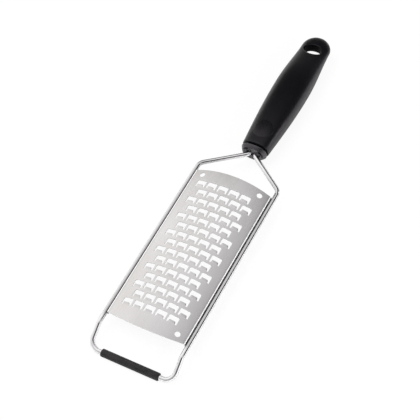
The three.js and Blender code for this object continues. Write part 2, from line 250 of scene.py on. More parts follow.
# Places from the middle of the blade and the plane of the rails
rail_x = wire_high.x - WIRE_RADIUS
shoulder_y = blade_half_length + SHOULDER_GAP
neck_y = shoulder_y + NECK_LENGTH
leg_y = -blade_half_length - LEG_GAP
foot_y = (sleeve_low.y + sleeve_high.y) / 2 - home.y
foot_z = (sleeve_low.z + sleeve_high.z) / 2 - home.z
sleeve_radius = (sleeve_high.z - sleeve_low.z) / 2
tang_end_y = wire_high.y - home.y
nose_y = neck_y - NOSE_OVERLAP
ring_y = nose_y + NOSE_LENGTH
groove_y = ring_y + RING_LENGTH
mouth_y = groove_y + GROOVE_WIDTH
shank_end_y = plug_high.y - home.y
tip_y = grip_high.y - home.y
heel_y = tip_y - TIP_LENGTH
hang_hole_y = tip_y - HANG_HOLE_INSET
pad_y = (pad_low.y + pad_high.y) / 2 - home.y
arch_z = CROWN_HEIGHT - ARCH_RADIUS
ring_half_width = plug_high.x
ring_half_height = (plug_high.z - plug_low.z) / 2


def make_piece(name, points, faces):
    """Mesh object from points in millimetres, with its shallow edges shaded smooth."""
    mesh = bpy.data.meshes.new(name)
    mesh.from_pydata([(Vector(p) + home) * MM for p in points], [], faces)
    mesh.validate()
    piece = bpy.data.objects.new(name, mesh)
    bpy.context.scene.collection.objects.link(piece)
    shade(piece)
    return piece


def shade(piece, smooth_angle=40):
    """Smooth shading, apart from edges sharper than the angle."""
    piece.data.shade_smooth()
    piece.data.set_sharp_from_angle(angle=math.radians(smooth_angle))


def apply_modifiers(piece):
    """Replaces a piece's mesh by what its modifiers make of it."""
    bpy.context.view_layer.update()
    graph = bpy.context.evaluated_depsgraph_get()
    made = bpy.data.meshes.new_from_object(piece.evaluated_get(graph))
    made.name = piece.name
    piece.modifiers.clear()
    piece.data = made


def cut(piece, cutter):
    """Cuts a closed piece by another, which is then removed."""
    step = piece.modifiers.new("cut", "BOOLEAN")
    step.operation = "DIFFERENCE"
    step.solver = "EXACT"
    step.object = cutter
    apply_modifiers(piece)
    bpy.data.objects.remove(cutter)


def dress(piece, material, node):
    """Gives a piece its material, and its place in the frame."""
    piece.data.materials.clear()
    piece.data.materials.append(material)
    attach(piece, "root")
    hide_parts(node)


def full_turn(sides):
    """Angles of equally many steps round a circle."""
    return [2 * math.pi * k / sides for k in range(sides)]


def rings_to_mesh(rings):
    """Points and faces of a closed body through rings of equally many points, with a flat cap at each end."""
    count = len(rings[0])
    points = [p for ring in rings for p in ring]
    faces = []
    for r in range(len(rings) - 1):
        for k in range(count):
            ahead = (k + 1) % count
            faces.append((r * count + k, r * count + ahead, (r + 1) * count + ahead, (r + 1) * count + k))
    last = (len(rings) - 1) * count
    faces.append(tuple(reversed(range(count))))
    faces.append(tuple(range(last, last + count)))
    return points, faces


# Bent wire

def bend_points(before, corner, after, radius):
    """Points of the round bend at a corner of a path."""
    back = (before - corner).normalized()
    ahead = (after - corner).normalized()
    half_angle = back.angle(ahead) / 2
    centre = corner + (back + ahead).normalized() * (radius / math.sin(half_angle))
    start = corner + back * (radius / math.tan(half_angle)) - centre
    end = corner + ahead * (radius / math.tan(half_angle)) - centre
    return [centre + start.slerp(end, k / BEND_STEPS) * radius for k in range(BEND_STEPS + 1)]


def sweep(path, radius, sides):
    """Rings of a round tube along a path, turned as little as possible from one to the next."""
    rings = []
    across = None
    for i, point in enumerate(path):
        into = (point - path[max(i - 1, 0)]).normalized()
        out = (path[min(i + 1, len(path) - 1)] - point).normalized()
        along = (into + out).normalized()
        if across is None:
            across = along.orthogonal()
        across = (across - along * across.dot(along)).normalized()
        up = along.cross(across)
        rings.append([point + (across * math.cos(a) + up * math.sin(a)) * radius for a in full_turn(sides)])
    return rings


def wire_frame():
    """One length of wire: tang, neck, shoulder, rail, leg and foot bar, and back on the other side."""
    half = [
        Vector((TANG_X, tang_end_y, 0)),
        Vector((TANG_X, neck_y, 0)),
        Vector((rail_x, shoulder_y, 0)),
        Vector((rail_x, leg_y, 0)),
        Vector((rail_x, foot_y, foot_z)),
    ]
    corners = half + [Vector((-p.x, p.y, p.z)) for p in reversed(half)]
    bends = [NECK_BEND, SHOULDER_BEND, LEG_BEND, FOOT_BEND]
    bends = bends + bends[::-1]
    path = [corners[0]]
    for i, radius in enumerate(bends):
        path += bend_points(corners[i], corners[i + 1], corners[i + 2], radius)
    path.append(corners[-1])
    return make_piece("wire_loop", *rings_to_mesh(sweep(path, WIRE_RADIUS, WIRE_SIDES)))


# Blade sheet, drawn flat as (across, along) and then bent

def edge_bend_place():
    """Angle on the arch, X and Z of the middle of the bend that turns the sheet down into its flange."""
    turn = math.pi / 2 - FLANGE_SLANT
    bend_x = blade_high.x - EDGE_BEND
    for _ in range(6):
        angle = math.asin(bend_x / (ARCH_RADIUS - EDGE_BEND))
        bend_z = arch_z + (ARCH_RADIUS - EDGE_BEND) * math.cos(angle)
        drop = bend_z + EDGE_BEND * math.cos(turn) + FLANGE_REACH
        bend_x = blade_high.x - EDGE_BEND * math.sin(turn) - drop * math.tan(FLANGE_SLANT)
    return angle, bend_x, bend_z


EDGE_ANGLE, BEND_X, BEND_Z = edge_bend_place()
BEND_TURN = math.pi / 2 - FLANGE_SLANT - EDGE_ANGLE
ARCH_HALF = ARCH_RADIUS * EDGE_ANGLE
BEND_LENGTH = EDGE_BEND * BEND_TURN
FLANGE_TOP = BEND_Z + EDGE_BEND * math.cos(EDGE_ANGLE + BEND_TURN)
FLANGE_LENGTH = (FLANGE_TOP + FLANGE_REACH) / math.cos(FLANGE_SLANT)


def section(across):
    """X, Z and the outward direction of the bent sheet at a distance across from the crown."""
    side = 1 if across >= 0 else -1
    reach = abs(across)
    if reach <= ARCH_HALF:
        angle = reach / ARCH_RADIUS
        x = ARCH_RADIUS * math.sin(angle)
        z = arch_z + ARCH_RADIUS * math.cos(angle)
    else:
        angle = EDGE_ANGLE + min(reach - ARCH_HALF, BEND_LENGTH) / EDGE_BEND
        past = max(reach - ARCH_HALF - BEND_LENGTH, 0)
        x = BEND_X + EDGE_BEND * math.sin(angle) + past * math.sin(FLANGE_SLANT)
        z = BEND_Z + EDGE_BEND * math.cos(angle) - past * math.cos(FLANGE_SLANT)
    return side * x, z, Vector((side * math.sin(angle), 0, math.cos(angle)))


def sheet_end(across, bulge):
    """Distance of a convex end from the middle of the blade."""
    x = section(across)[0]
    return blade_half_length + bulge * (1 - (x / blade_high.x) ** 2)


def arc(centre, radius, start, end, steps):
    """Points on a circle between two angles in degrees."""
    angles = [math.radians(start + (end - start) * k / steps) for k in range(steps + 1)]
    return [(centre[0] + radius * math.cos(a), centre[1] + radius * math.sin(a)) for a in angles]


def scoop_outline():
    """Outline of the opening round one tongue, from its middle: a broad band with two pointed legs."""
    half = SCOOP_WIDTH / 2
    end = SCOOP_LENGTH / 2
    root = half - LEG_FOOT_WIDTH
    edge = TONGUE_EDGE_WIDTH / 2
    edge_y = TONGUE_LENGTH - end
    slope = math.degrees(math.atan2(TONGUE_LENGTH, edge - root))
    turn = 180 - slope
    corner_x = edge - TONGUE_CORNER * math.tan(math.radians((90 - turn) / 2))
    inner = arc((corner_x, edge_y - TONGUE_CORNER), TONGUE_CORNER, slope - 90, 90, 6)
    outer = arc((half - SCOOP_CORNER, end - SCOOP_CORNER), SCOOP_CORNER, 0, 90, 6)
    side = [(half, -end + (SCOOP_LENGTH - SCOOP_CORNER) * k / 4) for k in range(4)]
    right = inner[::-1] + [(root, -end)] + side + outer
    left = [(-x, y) for x, y in reversed(right)]
    return right + left


def scoop_places():
    """Middles of the scoops: every other row is shifted by half a column."""
    places = []
    for row in range(SCOOP_ROWS):
        along = ((SCOOP_ROWS - 1) / 2 - row) * ROW_PITCH
        shift = -ROW_SHIFT if row % 2 == 0 else ROW_SHIFT
        for column in range(SCOOP_COLUMNS):
            places.append(((column - (SCOOP_COLUMNS - 1) / 2) * COLUMN_PITCH + shift, along))
    return places


def tongue_half_width(reach):
    """Half width of a tongue at a share of its length."""
    root = SCOOP_WIDTH / 2 - LEG_FOOT_WIDTH
    return root + (TONGUE_EDGE_WIDTH / 2 - root) * reach


def tongue_points():
    """Inner points of one tongue, from the middle of its scoop."""
    points = []
    for reach in (0.0, 0.25, 0.5, 0.75, 0.93):
        half = tongue_half_width(reach) - CLEAR_OF_CUTS
        along = reach * TONGUE_LENGTH - SCOOP_LENGTH / 2
        points += [(half * k / 4, along) for k in range(-4, 5)]
    return points


def tongue_lift(across, along):
    """Rise of a point of the sheet, given from the middle of the scoop whose tongue it may lie on."""
    reach = (along + SCOOP_LENGTH / 2) / TONGUE_LENGTH
    if not 0 < reach < 1.05 or abs(across) > tongue_half_width(reach) + CLEAR_OF_CUTS:
        return 0.0
    return TONGUE_RISE * min(reach, 1.0) ** TONGUE_CURVE


def tooling_holes():
    """Outlines of the round holes near three corners."""
    holes = []
    inset_y = blade_half_length - TOOLING_HOLE_INSET
    for x, y in ((-TOOLING_HOLE_X, inset_y), (TOOLING_HOLE_X, inset_y), (TOOLING_HOLE_X, -inset_y)):
        circle = arc((x, y), TOOLING_HOLE_RADIUS, 0, 360, 32)[:-1]
        holes.append([(ARCH_RADIUS * math.asin(px / ARCH_RADIUS), py) for px, py in circle])
    return holes


def sheet_outline(stations):
    """Outline of the flat sheet, with its two convex ends."""
    handle_end = [(a, sheet_end(a, HANDLE_END_BULGE)) for a in reversed(stations)]
    foot_end = [(a, -sheet_end(a, FOOT_END_BULGE)) for a in stations]
    return foot_end + handle_end


def inside(points, outline):
    """Which of the points lie inside an outline."""
    x, y = points[:, 0], points[:, 1]
    odd = np.zeros(len(points), bool)
    for (x0, y0), (x1, y1) in zip(outline, outline[1:] + outline[:1]):
        if y0 != y1:
            crossing = (x1 - x0) * (y - y0) / (y1 - y0) + x0
            odd ^= ((y0 > y) != (y1 > y)) & (x < crossing)
    return odd


def near(points, outline, distance):
    """Which of the points lie close to an outline."""
    close = np.zeros(len(points), bool)
    for a, b in zip(np.array(outline), np.array(outline[1:] + outline[:1])):
        along = b - a
        share = np.clip(((points - a) @ along) / max(along @ along, 1e-9), 0, 1)
        close |= np.hypot(*(points - a - share[:, None] * along).T) < distance
    return close


def across_stations():
    """Distances across the sheet at which it has a line of points: close together in the two bends."""
    arch = np.linspace(-ARCH_HALF, ARCH_HALF, 2 * round(ARCH_HALF / GRID_STEP) + 1)
    bend = ARCH_HALF + BEND_LENGTH * np.arange(1, 7) / 6
    flange = ARCH_HALF + BEND_LENGTH + FLANGE_LENGTH * np.arange(1, 4) / 3
    side = np.concatenate([bend, flange])
    return [float(a) for a in np.concatenate([-side[::-1], arch, side])]


def grid_points(stations, outline, holes):
    """Points of an even grid on the flat sheet, clear of its outline, its holes and its scoops."""
    first = -blade_half_length - FOOT_END_BULGE
    last = blade_half_length + HANDLE_END_BULGE
    rows = np.linspace(first, last, round(2 * blade_half_length / GRID_STEP))
    grid = np.array([(a, b) for a in stations for b in rows])
    keep = inside(grid, outline) & ~near(grid, outline, CLEAR_OF_CUTS)
    for hole in holes:
        keep &= ~(inside(grid, hole) | near(grid, hole, CLEAR_OF_CUTS))
    reach = np.array((SCOOP_WIDTH, SCOOP_LENGTH)) / 2 + CLEAR_OF_CUTS
    for place in scoop_places():
        keep &= ~(np.abs(grid - np.array(place)) < reach).all(axis=1)
    return [tuple(p) for p in grid[keep]]


def metal_triangles(points, triangles, outline, openings):
    """Triangles that lie inside the outline and in none of the openings."""
    middles = points[triangles].mean(axis=1)
    solid = inside(middles, outline)
    for shape in openings:
        low, high = np.min(shape, axis=0), np.max(shape, axis=0)
        close = np.flatnonzero(((middles > low) & (middles < high)).all(axis=1))
        solid[close[inside(middles[close], shape)]] = False
    return triangles[solid]


def flat_pattern():
    """Points and triangles of the flat sheet with all its openings."""
    stations = across_stations()
    outline = sheet_outline(stations)
    holes = tooling_holes()
    cuts = [[(a + x, b + y) for x, y in scoop_outline()] for a, b in scoop_places()]
    points = grid_points(stations, outline, holes)
    for a, b in scoop_places():
        points += [(a + x, b + y) for x, y in tongue_points()]
    edges = []
    for shape in [outline, *holes, *cuts]:
        first = len(points)
        points += shape
        edges += [(first + k, first + (k + 1) % len(shape)) for k in range(len(shape))]
    made, _, triangles, *_ = delaunay_2d_cdt([Vector(p) for p in points], edges, [], 0, 1e-5)
    made = np.array([tuple(p) for p in made])
    return made, metal_triangles(made, np.array(triangles), outline, holes + cuts)


def bent_sheet(flat):
    """Places in space of the flat sheet's points, with the tongues raised."""
    places = np.array(scoop_places())
    points = []
    for across, along in flat:
        x, z, out = section(across)
        nearest = places[np.argmin(np.hypot(places[:, 0] - across, places[:, 1] - along))]
        lift = tongue_lift(across - nearest[0], along - nearest[1])
        points.append(Vector((x, along, z)) + out * lift)
    return points


def grater_blade():
    """Thin bent sheet: the flat pattern on the arch, given its thickness inwards."""
    flat, triangles = flat_pattern()
    used = np.unique(triangles)
    order = np.full(len(flat), -1)
    order[used] = np.arange(len(used))
    faces = [tuple(int(i) for i in order[t]) for t in triangles]
    blade = make_piece("blade_sheet", bent_sheet(flat[used]), faces)
    thick = blade.modifiers.new("thickness", "SOLIDIFY")
    thick.thickness = SHEET_THICKNESS * MM
    thick.offset = -1
    apply_modifiers(blade)
    shade(blade, smooth_angle=50)
    return blade


# Foot sleeve

def foot_sleeve():
    """Rubber tube on the foot bar, with rounded ends and an open bore."""
    end = sleeve_high.x
    straight = end - SLEEVE_EDGE
    bore = WIRE_RADIUS + SLEEVE_BORE_GAP
    corner = arc((sleeve_radius - SLEEVE_EDGE, -straight), SLEEVE_EDGE, 270, 360, 6)
    body = [(sleeve_radius, straight * (2 * k / SLEEVE_STEPS - 1)) for k in range(1, SLEEVE_STEPS)]
    near_end = [(bore, -end + SLEEVE_LIP), (bore, -end), *corner]
    far_end = [(r, -x) for r, x in reversed(near_end)]
    turns = full_turn(SLEEVE_SIDES)
    rings = []
    for r, x in near_end + body + far_end:
        rings.append([(x, foot_y + r * math.cos(a), foot_z + r * math.sin(a)) for a in turns])
    points, faces = rings_to_mesh(rings)
    last = len(points) - SLEEVE_SIDES
    bore_wall = []
    for k in range(SLEEVE_SIDES):
        ahead = (k + 1) % SLEEVE_SIDES
        bore_wall.append((last + k, last + ahead, ahead, k))
    return make_piece("sleeve_tube", points, faces[:-2] + bore_wall)


# Handle

def grip_outline(y):
    """Half width, height above and height below of the grip at a distance along."""
    place = y - mouth_y
    if place <= BELLY_PLACE:
        rise = math.sin(math.pi / 2 * place / BELLY_PLACE)
        half, top, bottom = (a + (b - a) * rise for a, b in zip(MOUTH, BELLY))
        if place < MOUTH_EDGE:
            inset = MOUTH_EDGE - math.sqrt(MOUTH_EDGE ** 2 - (MOUTH_EDGE - place) ** 2)
            half, top, bottom = half - inset, top - inset, bottom - inset
        return half, top, bottom
    if y <= heel_y:
        share = (place - BELLY_PLACE) / (heel_y - mouth_y - BELLY_PLACE)
        fall = math.cos(math.pi / 2 * share) ** HEEL_CURVE
        return tuple(a + (b - a) * fall for a, b in zip(HEEL, BELLY))
    reach = min((y - heel_y) / TIP_LENGTH, 1)
    plan = (1 - reach ** TIP_FULLNESS) ** (1 / TIP_FULLNESS)
    crown = (1 - reach ** TIP_ROUNDING) ** (1 / TIP_ROUNDING)
    top = (TIP_TOP + (HEEL[1] - TIP_TOP) * plan) * crown
    bottom = (TIP_BOTTOM + (HEEL[2] - TIP_BOTTOM) * plan) * crown
    return HEEL[0] * plan, top, bottom


def fuller(share):
    """Takes a sine or cosine of a round section to that of one with fuller corners."""
    return math.copysign(abs(share) ** (2 / SECTION_FULLNESS), share)


def oval_ring(y, half, top, bottom, sides):
    """Ring of points of an oval section with full corners and its own heights above and below."""
    ring = []
    for turn in full_turn(sides):
        height = fuller(math.sin(turn))
        ring.append(Vector((-half * fuller(math.cos(turn)), y, height * (top if height > 0 else bottom))))
    return ring


def loft(name, sections, sides):
    """Closed body along Y through oval sections (y, half width, height above, height below)."""
    return make_piece(name, *rings_to_mesh([oval_ring(*s, sides) for s in sections]))


def grip_height(x, y, side):
    """Height of the grip's skin above (side 1) or below (side -1) a point of the rail plane."""
    half, top, bottom = grip_outline(y)
    height = max(0, 1 - abs(x / half) ** SECTION_FULLNESS) ** (1 / SECTION_FULLNESS)
    return height * top if side > 0 else -height * bottom


def hang_hole_cutter():
    """Body of the hanging hole, whose two rims are rounded where they meet the skin of the grip."""
    roll = [math.radians(a) for a in (0, 12, 24, 36, 48, 60, 70)]

    def ring(offset, depth, side):
        points = []
        for a in full_turn(GRIP_SIDES):
            x = (HANG_HOLE_ACROSS / 2 + offset) * math.cos(a)
            y = hang_hole_y + (HANG_HOLE_ALONG / 2 + offset) * math.sin(a)
            points.append(Vector((x, y, grip_height(x, y, side) - side * depth)))
        return points

    offsets = [HANG_HOLE_ROUND * (1 - math.cos(a)) for a in roll]
    depths = [HANG_HOLE_ROUND * (1 - math.sin(a)) for a in roll]
    rims = []
    for side in (1, -1):
        rim = [ring(offset, depth, side) for offset, depth in zip(offsets, depths)]
        rim.append(ring(offsets[-1] + HANG_HOLE_FLARE, -HANG_HOLE_LIFT, side))
        rim.append([Vector((p.x, p.y, side * CUTTER_REACH)) for p in rim[-1]])
        rims.append(rim)
    upper, lower = rims
    return make_piece("hole_cutter", *rings_to_mesh(lower[::-1] + upper))


def disc_cutter(radius, floor):
    """Upright round cutter at the pad's place."""
    circle = [(radius * math.cos(a), pad_y + radius * math.sin(a)) for a in full_turn(GRIP_SIDES)]
    rings = [[(x, y, z) for x, y in circle] for z in (floor, CUTTER_REACH)]
    return make_piece("pocket_cutter", *rings_to_mesh(rings))


def box_cutter(x0, x1, y0, y1, z0, z1):
    """Square cutter between two corners."""
    low = [(x0, y0, z0), (x1, y0, z0), (x1, y1, z0), (x0, y1, z0)]
    high = [(x, y, z1) for x, y, _ in low]
    return make_piece("box_cutter", *rings_to_mesh([low, high]))


def handle_grip():
    """Moulded grip with its socket, the pocket of the pad and the hanging hole."""
    rounding = [mouth_y + MOUTH_EDGE * (1 - math.cos(math.pi / 2 * k / 5)) for k in range(6)]
    body = list(np.linspace(mouth_y + MOUTH_EDGE, heel_y, GRIP_STATIONS)[1:])
    tip = [heel_y + TIP_LENGTH * math.sin(math.pi / 2 * k / TIP_STATIONS) for k in range(1, TIP_STATIONS)]
    sections = [(y, *grip_outline(y)) for y in rounding + body + tip]
    grip = loft("grip_body", sections, GRIP_SIDES)
    width = SHANK_HALF_WIDTH + PLUG_CLEARANCE
    height = SHANK_HALF_HEIGHT + PLUG_CLEARANCE
    socket = [(y, width, height, height) for y in (mouth_y - 1, mouth_y + SOCKET_DEPTH)]
    cut(grip, loft("socket_cutter", socket, SOCKET_SIDES))
    cut(grip, disc_cutter(PAD_RADIUS + PAD_GAP, PAD_FLOOR - PLUG_CLEARANCE))
    cut(grip, hang_hole_cutter())
    shade(grip, smooth_angle=32)
    return grip


def grip_pad():
    """Round pad that follows the skin of the grip and swells a little over it, with a rolled edge."""

    def ring(radius, drop):
        points = []
        fall = PAD_DOME * (radius / PAD_RADIUS) ** 2 + drop
        for a in full_turn(GRIP_SIDES):
            x = radius * math.cos(a)
            y = pad_y + radius * math.sin(a)
            points.append(Vector((x, y, grip_height(x, y, 1) + PAD_PROUD - fall)))
        return points

    crown = [ring(PAD_RADIUS * share, 0) for share in (0.04, 0.2, 0.35, 0.5, 0.65, 0.78, 0.9)]
    roll = [math.pi / 2 * k / 7 for k in range(8)]
    edge = [ring(PAD_RADIUS - PAD_EDGE * (1 - math.sin(a)), PAD_EDGE * (1 - math.cos(a))) for a in roll]
    base = [Vector((p.x, p.y, PAD_FLOOR)) for p in edge[-1]]
    rings = [base] + edge[::-1] + crown[::-1]
    return make_piece("pad_disc", *rings_to_mesh(rings))


def plug_sections():
    """Oval sections of the plug from its nose to the end of its shank."""
    front_half = ring_half_width - RING_TAPER
    front_height = ring_half_height - RING_TAPER
    nose_half = front_half - NOSE_INSET
    nose_height = front_height - NOSE_INSET
    groove_half = ring_half_width - GROOVE_DEPTH
    groove_height = ring_half_height - GROOVE_DEPTH
    seat_y = mouth_y - PLUG_CLEARANCE
    middle_y = ring_y + RING_LENGTH / 2
    line_y = ring_y - NOSE_LINE_WIDTH
    rows = [
        (nose_y, nose_half - NOSE_EDGE, nose_height - NOSE_EDGE),
        (nose_y + NOSE_EDGE_LENGTH, nose_half, nose_height),
        (line_y, nose_half, nose_height),
        (line_y + SHARP_STEP, nose_half - NOSE_LINE_DEPTH, nose_height - NOSE_LINE_DEPTH),
        (ring_y, nose_half - NOSE_LINE_DEPTH, nose_height - NOSE_LINE_DEPTH),
        (ring_y + SHARP_STEP, front_half, front_height),
        (middle_y, ring_half_width - RING_TAPER / 3, ring_half_height - RING_TAPER / 3),
        (groove_y - RING_LAND, ring_half_width, ring_half_height),
        (groove_y, ring_half_width, ring_half_height),
        (groove_y + SHARP_STEP, groove_half, groove_height),
        (seat_y, groove_half, groove_height),
        (seat_y + SHARP_STEP, SHANK_HALF_WIDTH, SHANK_HALF_HEIGHT),
        (shank_end_y, SHANK_HALF_WIDTH, SHANK_HALF_HEIGHT),
    ]
    return [(y, half, height, height) for y, half, height in rows]


def handle_plug():
    """Moulded plug: nose with a slot for the two wires, ring, groove and shank, all with softened edges."""
    plug = loft("plug_body", plug_sections(), PLUG_SIDES)
    room = WIRE_RADIUS + PLUG_CLEARANCE
    half = NOTCH_HALF_WIDTH
    cut(plug, box_cutter(-half, half, nose_y - 1, ring_y, 0, 2 * ring_half_height))
    for side in (-1, 1):
        shoulder = Vector((side * rail_x, shoulder_y, 0))
        neck = Vector((side * TANG_X, neck_y, 0))
        end = Vector((side * TANG_X, shank_end_y + 1, 0))
        path = [shoulder] + bend_points(shoulder, neck, end, NECK_BEND) + [end]
        cut(plug, make_piece("bore_cutter", *rings_to_mesh(sweep(path, room, WIRE_SIDES))))
    remesh = plug.modifiers.new("moulded", "REMESH")
    remesh.mode = "VOXEL"
    remesh.voxel_size = PLUG_VOXEL * MM
    soften = plug.modifiers.new("soft_edges", "SMOOTH")
    soften.factor = 0.5
    soften.iterations = 4
    apply_modifiers(plug)
    shade(plug, smooth_angle=80)
    return plug


# Nodes

def product(tree, first, second):
    """Product of two fields."""
    node = tree.nodes.new("ShaderNodeMath")
    node.operation = "MULTIPLY"
    tree.links.new(first, node.inputs[0])
    tree.links.new(second, node.inputs[1])
    return node.outputs[0]


def fade(tree, field, start, end, first, last, kind="LINEAR"):
    """Field taken from the range start to end to the range first to last, and held at its ends."""
    node = tree.nodes.new("ShaderNodeMapRange")
    node.interpolation_type = kind
    node.inputs["From Min"].default_value = start
    node.inputs["From Max"].default_value = end
    node.inputs["To Min"].default_value = first
    node.inputs["To Max"].default_value = last
    tree.links.new(field, node.inputs["Value"])
    return node.outputs["Result"]


def coordinates(tree, kind):
    """X, Y and Z of the place on the object (kind Object) or of the way its surface faces (kind Normal)."""
    place = tree.nodes.new("ShaderNodeTexCoord")
    split = tree.nodes.new("ShaderNodeSeparateXYZ")
    tree.links.new(place.outputs[kind], split.inputs["Vector"])
    return split.outputs


# Materials

def new_material(name, colour, metallic, roughness):
    """Principled material and its shader, with a plain finish to be built on."""
    material = bpy.data.materials.new(name)
    material.use_nodes = True
    shader = material.node_tree.nodes["Principled BSDF"]
    shader.inputs["Base Color"].default_value = (*colour, 1)
    shader.inputs["Metallic"].default_value = metallic
    shader.inputs["Roughness"].default_value = roughness
    return material, shader


def noise_field(material, scale, stretch=(1, 1, 1), detail=4.0, roughness=0.55):
    """Noise over the surface in metres, drawn out by stretch."""
    tree = material.node_tree
    place = tree.nodes.new("ShaderNodeTexCoord")
    mapping = tree.nodes.new("ShaderNodeMapping")
    mapping.inputs["Scale"].default_value = stretch
    noise = tree.nodes.new("ShaderNodeTexNoise")
    noise.inputs["Scale"].default_value = scale
    noise.inputs["Detail"].default_value = detail
    noise.inputs["Roughness"].default_value = roughness
    tree.links.new(place.outputs["Object"], mapping.inputs["Vector"])
    tree.links.new(mapping.outputs["Vector"], noise.inputs["Vector"])
    return noise.outputs["Fac"]


def ramp(material, field, stops):
    """Colour ramp over a field, from (position, colour) stops."""
    node = material.node_tree.nodes.new("ShaderNodeValToRGB")
    elements = node.color_ramp.elements
    for element, (position, colour) in zip(elements, (stops[0], stops[-1])):
        element.position = position
        element.color = (*colour, 1)
    for position, colour in stops[1:-1]:
        elements.new(position).color = (*colour, 1)
    material.node_tree.links.new(field, node.inputs["Fac"])
    return node.outputs["Color"]


def spread(material, field, low, high):
    """Field stretched from the usual range of noise to the range low to high."""
    return fade(material.node_tree, field, 0.3, 0.7, low, high)


def bump(material, shader, field, height_mm):
    """Relief of a height over the surface."""
    node = material.node_tree.nodes.new("ShaderNodeBump")
    node.inputs["Strength"].default_value = 1.0
    node.inputs["Distance"].default_value = height_mm * MM
    material.node_tree.links.new(field, node.inputs["Height"])
    material.node_tree.links.new(node.outputs["Normal"], shader.inputs["Normal"])


def below(material, height_mm, fade_mm):
    """Field that is 1 under a height above the plane of the rails and 0 over it."""
    tree = material.node_tree
    height = coordinates(tree, "Object")["Z"]
    full = (home.z + height_mm - fade_mm / 2) * MM
    gone = (home.z + height_mm + fade_mm / 2) * MM
    return fade(tree, height, full, gone, 1.0, 0.0)


def outward(material):
    """Field that is 1 on faces that look away from the middle plane."""
    tree = material.node_tree
    outwardness = product(tree, coordinates(tree, "Object")["X"], coordinates(tree, "Normal")["X"])
    test = tree.nodes.new("ShaderNodeMath")
    test.operation = "GREATER_THAN"
    test.inputs[1].default_value = 0.0
    tree.links.new(outwardness, test.inputs[0])
    return test.outputs[0]


def weld_marks_and_painted_shade(material):
    """Field of how much the wire is darkened by weld marks and painted shade: most towards the blade, fading
    out along the neck and the legs.
    """
    tree = material.node_tree
    spot = coordinates(tree, "Object")
    side = tree.nodes.new("ShaderNodeMath")
    side.operation = "SIGN"
    tree.links.new(spot["X"], side.inputs[0])
    outwardness = product(tree, side.outputs[0], coordinates(tree, "Normal")["X"])
    inner = fade(tree, outwardness, -0.05, 0.6, RAIL_WELD_AND_PAINTED_SHADE, OUTER_SHARE * RAIL_WELD_AND_PAINTED_SHADE)
    handle_end = (home.y + blade_half_length) * MM
    foot_end = (home.y - blade_half_length) * MM
    to_neck = fade(tree, spot["Y"], handle_end, handle_end + NECK_LENGTH * MM, 1.0, 0.0)
    to_leg = fade(tree, spot["Y"], foot_end - LEG_GAP / 2 * MM, foot_end, 0.0, 1.0)
    return product(tree, inner, product(tree, to_neck, to_leg))


def blend(material, share, first, colour):
    """Goes from a colour field to one colour where a share is 1."""
    node = material.node_tree.nodes.new("ShaderNodeMixRGB")
    node.inputs["Color2"].default_value = (*colour, 1)
    material.node_tree.links.new(share, node.inputs["Fac"])
    material.node_tree.links.new(first, node.inputs["Color1"])
    return node.outputs["Color"]


def blade_steel():
    """Satin sheet with a fine grain; along its edges a band of painted shade, a painted highlight on the bend
    and under it painted shade with weld marks.
    """
    material, shader = new_material("blade_steel", (0.66, 0.66, 0.665), 1.0, 0.34)
    tree = material.node_tree
    link = tree.links.new
    grain = noise_field(material, 900, (1, 0.05, 1), detail=6)
    clouds = noise_field(material, 55, (1, 0.6, 1), detail=3)
    outer = outward(material)
    # Band of painted shade along the edges, darkening the sheet
    band = product(tree, below(material, EDGE_SHADE_HEIGHT, EDGE_SHADE_FADE), outer)
    # Painted highlight on the bend, whiter than the sheet
    bend = product(tree, below(material, PAINTED_HIGHLIGHT_HEIGHT, PAINTED_EDGE_FADE), outer)
    # Painted shade with weld marks at the foot of the flange, nearly black
    weld_and_painted_shade = product(tree, below(material, WELD_AND_SHADE_HEIGHT, PAINTED_EDGE_FADE), outer)
    sheet = ramp(material, clouds, [(0.3, (0.645, 0.638, 0.633)), (0.7, (0.70, 0.697, 0.70))])
    shaded = blend(material, fade(tree, band, 0.0, 1.0, 0.0, EDGE_SHADE), sheet, (0.1, 0.1, 0.1))
    with_painted_highlight = blend(material, bend, shaded, (0.96, 0.96, 0.96))
    link(blend(material, weld_and_painted_shade, with_painted_highlight, (0.03, 0.03, 0.03)), shader.inputs["Base Color"])
    # The painted highlight is also made less metallic, so it shows whiter
    link(spread(material, bend, 1.0, 0.3), shader.inputs["Metallic"])
    link(spread(material, grain, 0.26, 0.32), shader.inputs["Roughness"])
    bump(material, shader, grain, 0.0015)
    return material


def polished_wire():
    """Polished stainless wire with faint drawing marks, darkened towards the blade by weld marks and painted
    shade.
    """
    material, shader = new_material("wire_steel", (0.7, 0.7, 0.71), 1.0, 0.16)
    link = material.node_tree.links.new
    marks = noise_field(material, 400, (1, 0.12, 1), detail=5)
    bright = ramp(material, marks, [(0.3, (0.83, 0.83, 0.84)), (0.7, (0.91, 0.91, 0.915))])
    # The wire is darkened towards the blade by weld marks and painted shade
    colour = blend(material, weld_marks_and_painted_shade(material), bright, (0.02, 0.02, 0.02))
    link(colour, shader.inputs["Base Color"])
    link(spread(material, marks, 0.05, 0.1), shader.inputs["Roughness"])
    shader.inputs["Specular Tint"].default_value = (0.25, 0.25, 0.25, 1)
    bump(material, shader, marks, 0.002)
    return material


def moulded_black(name, dark, light, roughness, grain_scale, grain_height, gloss):
    """Black moulding with a fine grain, faint clouds and a soft gloss."""
    material, shader = new_material(name, dark, 0.0, roughness)
    link = material.node_tree.links.new
    clouds = noise_field(material, 60, detail=3)
    grain = noise_field(material, grain_scale, detail=2)
    link(ramp(material, clouds, [(0.3, dark), (0.7, light)]), shader.inputs["Base Color"])
    link(spread(material, grain, roughness - 0.06, roughness + 0.06), shader.inputs["Roughness"])
    shader.inputs["Specular IOR Level"].default_value = gloss
    shader.inputs["Specular Tint"].default_value = (0.99, 0.94, 1.0, 1)
    bump(material, shader, grain, grain_height)
    return material


